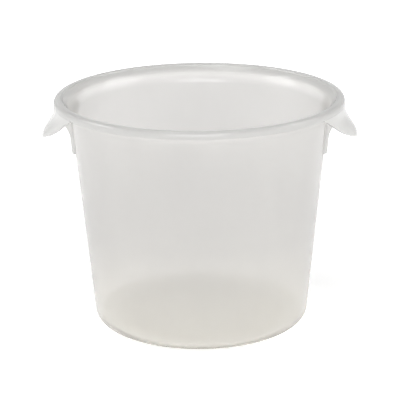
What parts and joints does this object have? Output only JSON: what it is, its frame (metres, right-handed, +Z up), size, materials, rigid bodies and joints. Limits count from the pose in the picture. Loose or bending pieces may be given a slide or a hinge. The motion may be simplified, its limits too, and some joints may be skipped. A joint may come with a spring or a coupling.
{
  "type": "round food storage tub",
  "caption": "Round tapered open-topped food storage tub in translucent plastic, with a flared skirted rim and two drooping handle ears.",
  "frame": {"origin": "centre of the resting face, on the tub's axis", "axes": "+Z up along the tub's axis, +X towards the right ear, the ears on -X and +X"},
  "size_m": [0.2708, 0.246, 0.1985],
  "materials": {
    "base": "translucent, fine satin",
    "base_edge": "translucent, fine satin",
    "side_wall": "translucent, fine satin",
    "mouth": "translucent, fine satin",
    "rim": "translucent, semi-gloss",
    "handle": "translucent, semi-gloss",
    "handle_pad": "translucent, fine satin"
  },
  "bodies": {
    "root": {"base": "base", "base_edge": "base_edge", "side_wall": "side_wall", "mouth": "mouth", "rim": "rim", "left_handle": "handle", "right_handle": "handle", "left_handle_pad": "handle_pad", "right_handle_pad": "handle_pad"}
  },
  "joints": []
}
